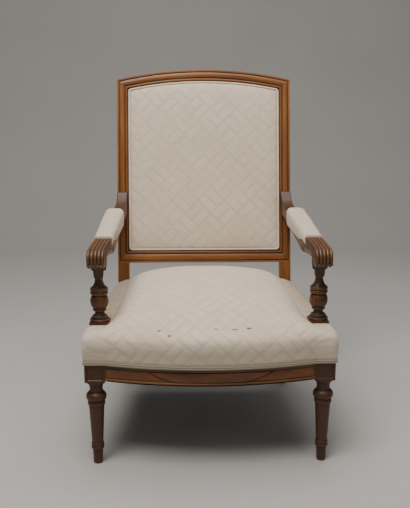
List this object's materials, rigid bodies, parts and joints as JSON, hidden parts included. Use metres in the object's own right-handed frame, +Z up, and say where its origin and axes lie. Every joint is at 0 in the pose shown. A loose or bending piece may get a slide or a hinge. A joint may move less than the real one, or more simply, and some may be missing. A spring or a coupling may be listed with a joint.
{
  "type": "upholstered open armchair",
  "caption": "Open armchair with a carved hardwood frame, turned legs and arm supports, sprung seat, padded back and arms in cream damask.",
  "frame": {"origin": "centre of the chair's bounding box, on the floor that its four feet stand on", "axes": "+Z up, -Y is the front of the seat, +X to the right of someone who looks at the front"},
  "size_m": [0.6422, 0.7474, 1.0001],
  "materials": {
    "polished_wood": "waxed golden brown hardwood, satin",
    "plain_wood": "unpolished hardwood",
    "screw_steel": "plain steel wood screw",
    "blued_steel": "blued upholstery tack",
    "coppered_wire": "coppered spring wire",
    "jute_webbing": "woven jute webbing",
    "hessian": "coarse hessian",
    "hair_stuffing": "curled hair and linen",
    "damask": "cream damask, tone on tone herringbone of short bars",
    "piping": "covered piping cord",
    "gimp_braid": "woven scalloped gimp",
    "bottom_cloth": "plain linen dust cloth"
  },
  "bodies": {
    "root": {"arm_left": "polished_wood", "arm_pad_cover_left": "damask", "arm_pad_cover_right": "damask", "arm_pad_gimp": "gimp_braid", "arm_pad_stuffing_left": "hair_stuffing", "arm_pad_stuffing_right": "hair_stuffing", "arm_post_left": "polished_wood", "arm_post_right": "polished_wood", "arm_post_screws": "screw_steel", "arm_right": "polished_wood", "back_cover": "damask", "back_hessian": "hessian", "back_piping": "piping", "back_stuffing": "hair_stuffing", "back_webbing": "jute_webbing", "bottom_cloth": "bottom_cloth", "corner_brace_screws": "screw_steel", "corner_braces": "plain_wood", "front_leg_left": "polished_wood", "front_leg_right": "polished_wood", "front_rail": "polished_wood", "lower_back_rail": "polished_wood", "outside_back_cover": "damask", "outside_back_gimp": "gimp_braid", "rear_post_left": "polished_wood", "rear_post_right": "polished_wood", "rear_rail": "polished_wood", "seat_cover": "damask", "seat_gimp": "gimp_braid", "seat_springs": "coppered_wire", "seat_stuffing": "hair_stuffing", "side_rail_left": "polished_wood", "side_rail_right": "polished_wood", "spring_hessian": "hessian", "top_rail": "polished_wood", "webbing_front_to_back": "jute_webbing", "webbing_side_to_side": "jute_webbing", "webbing_tacks": "blued_steel"}
  },
  "joints": []
}
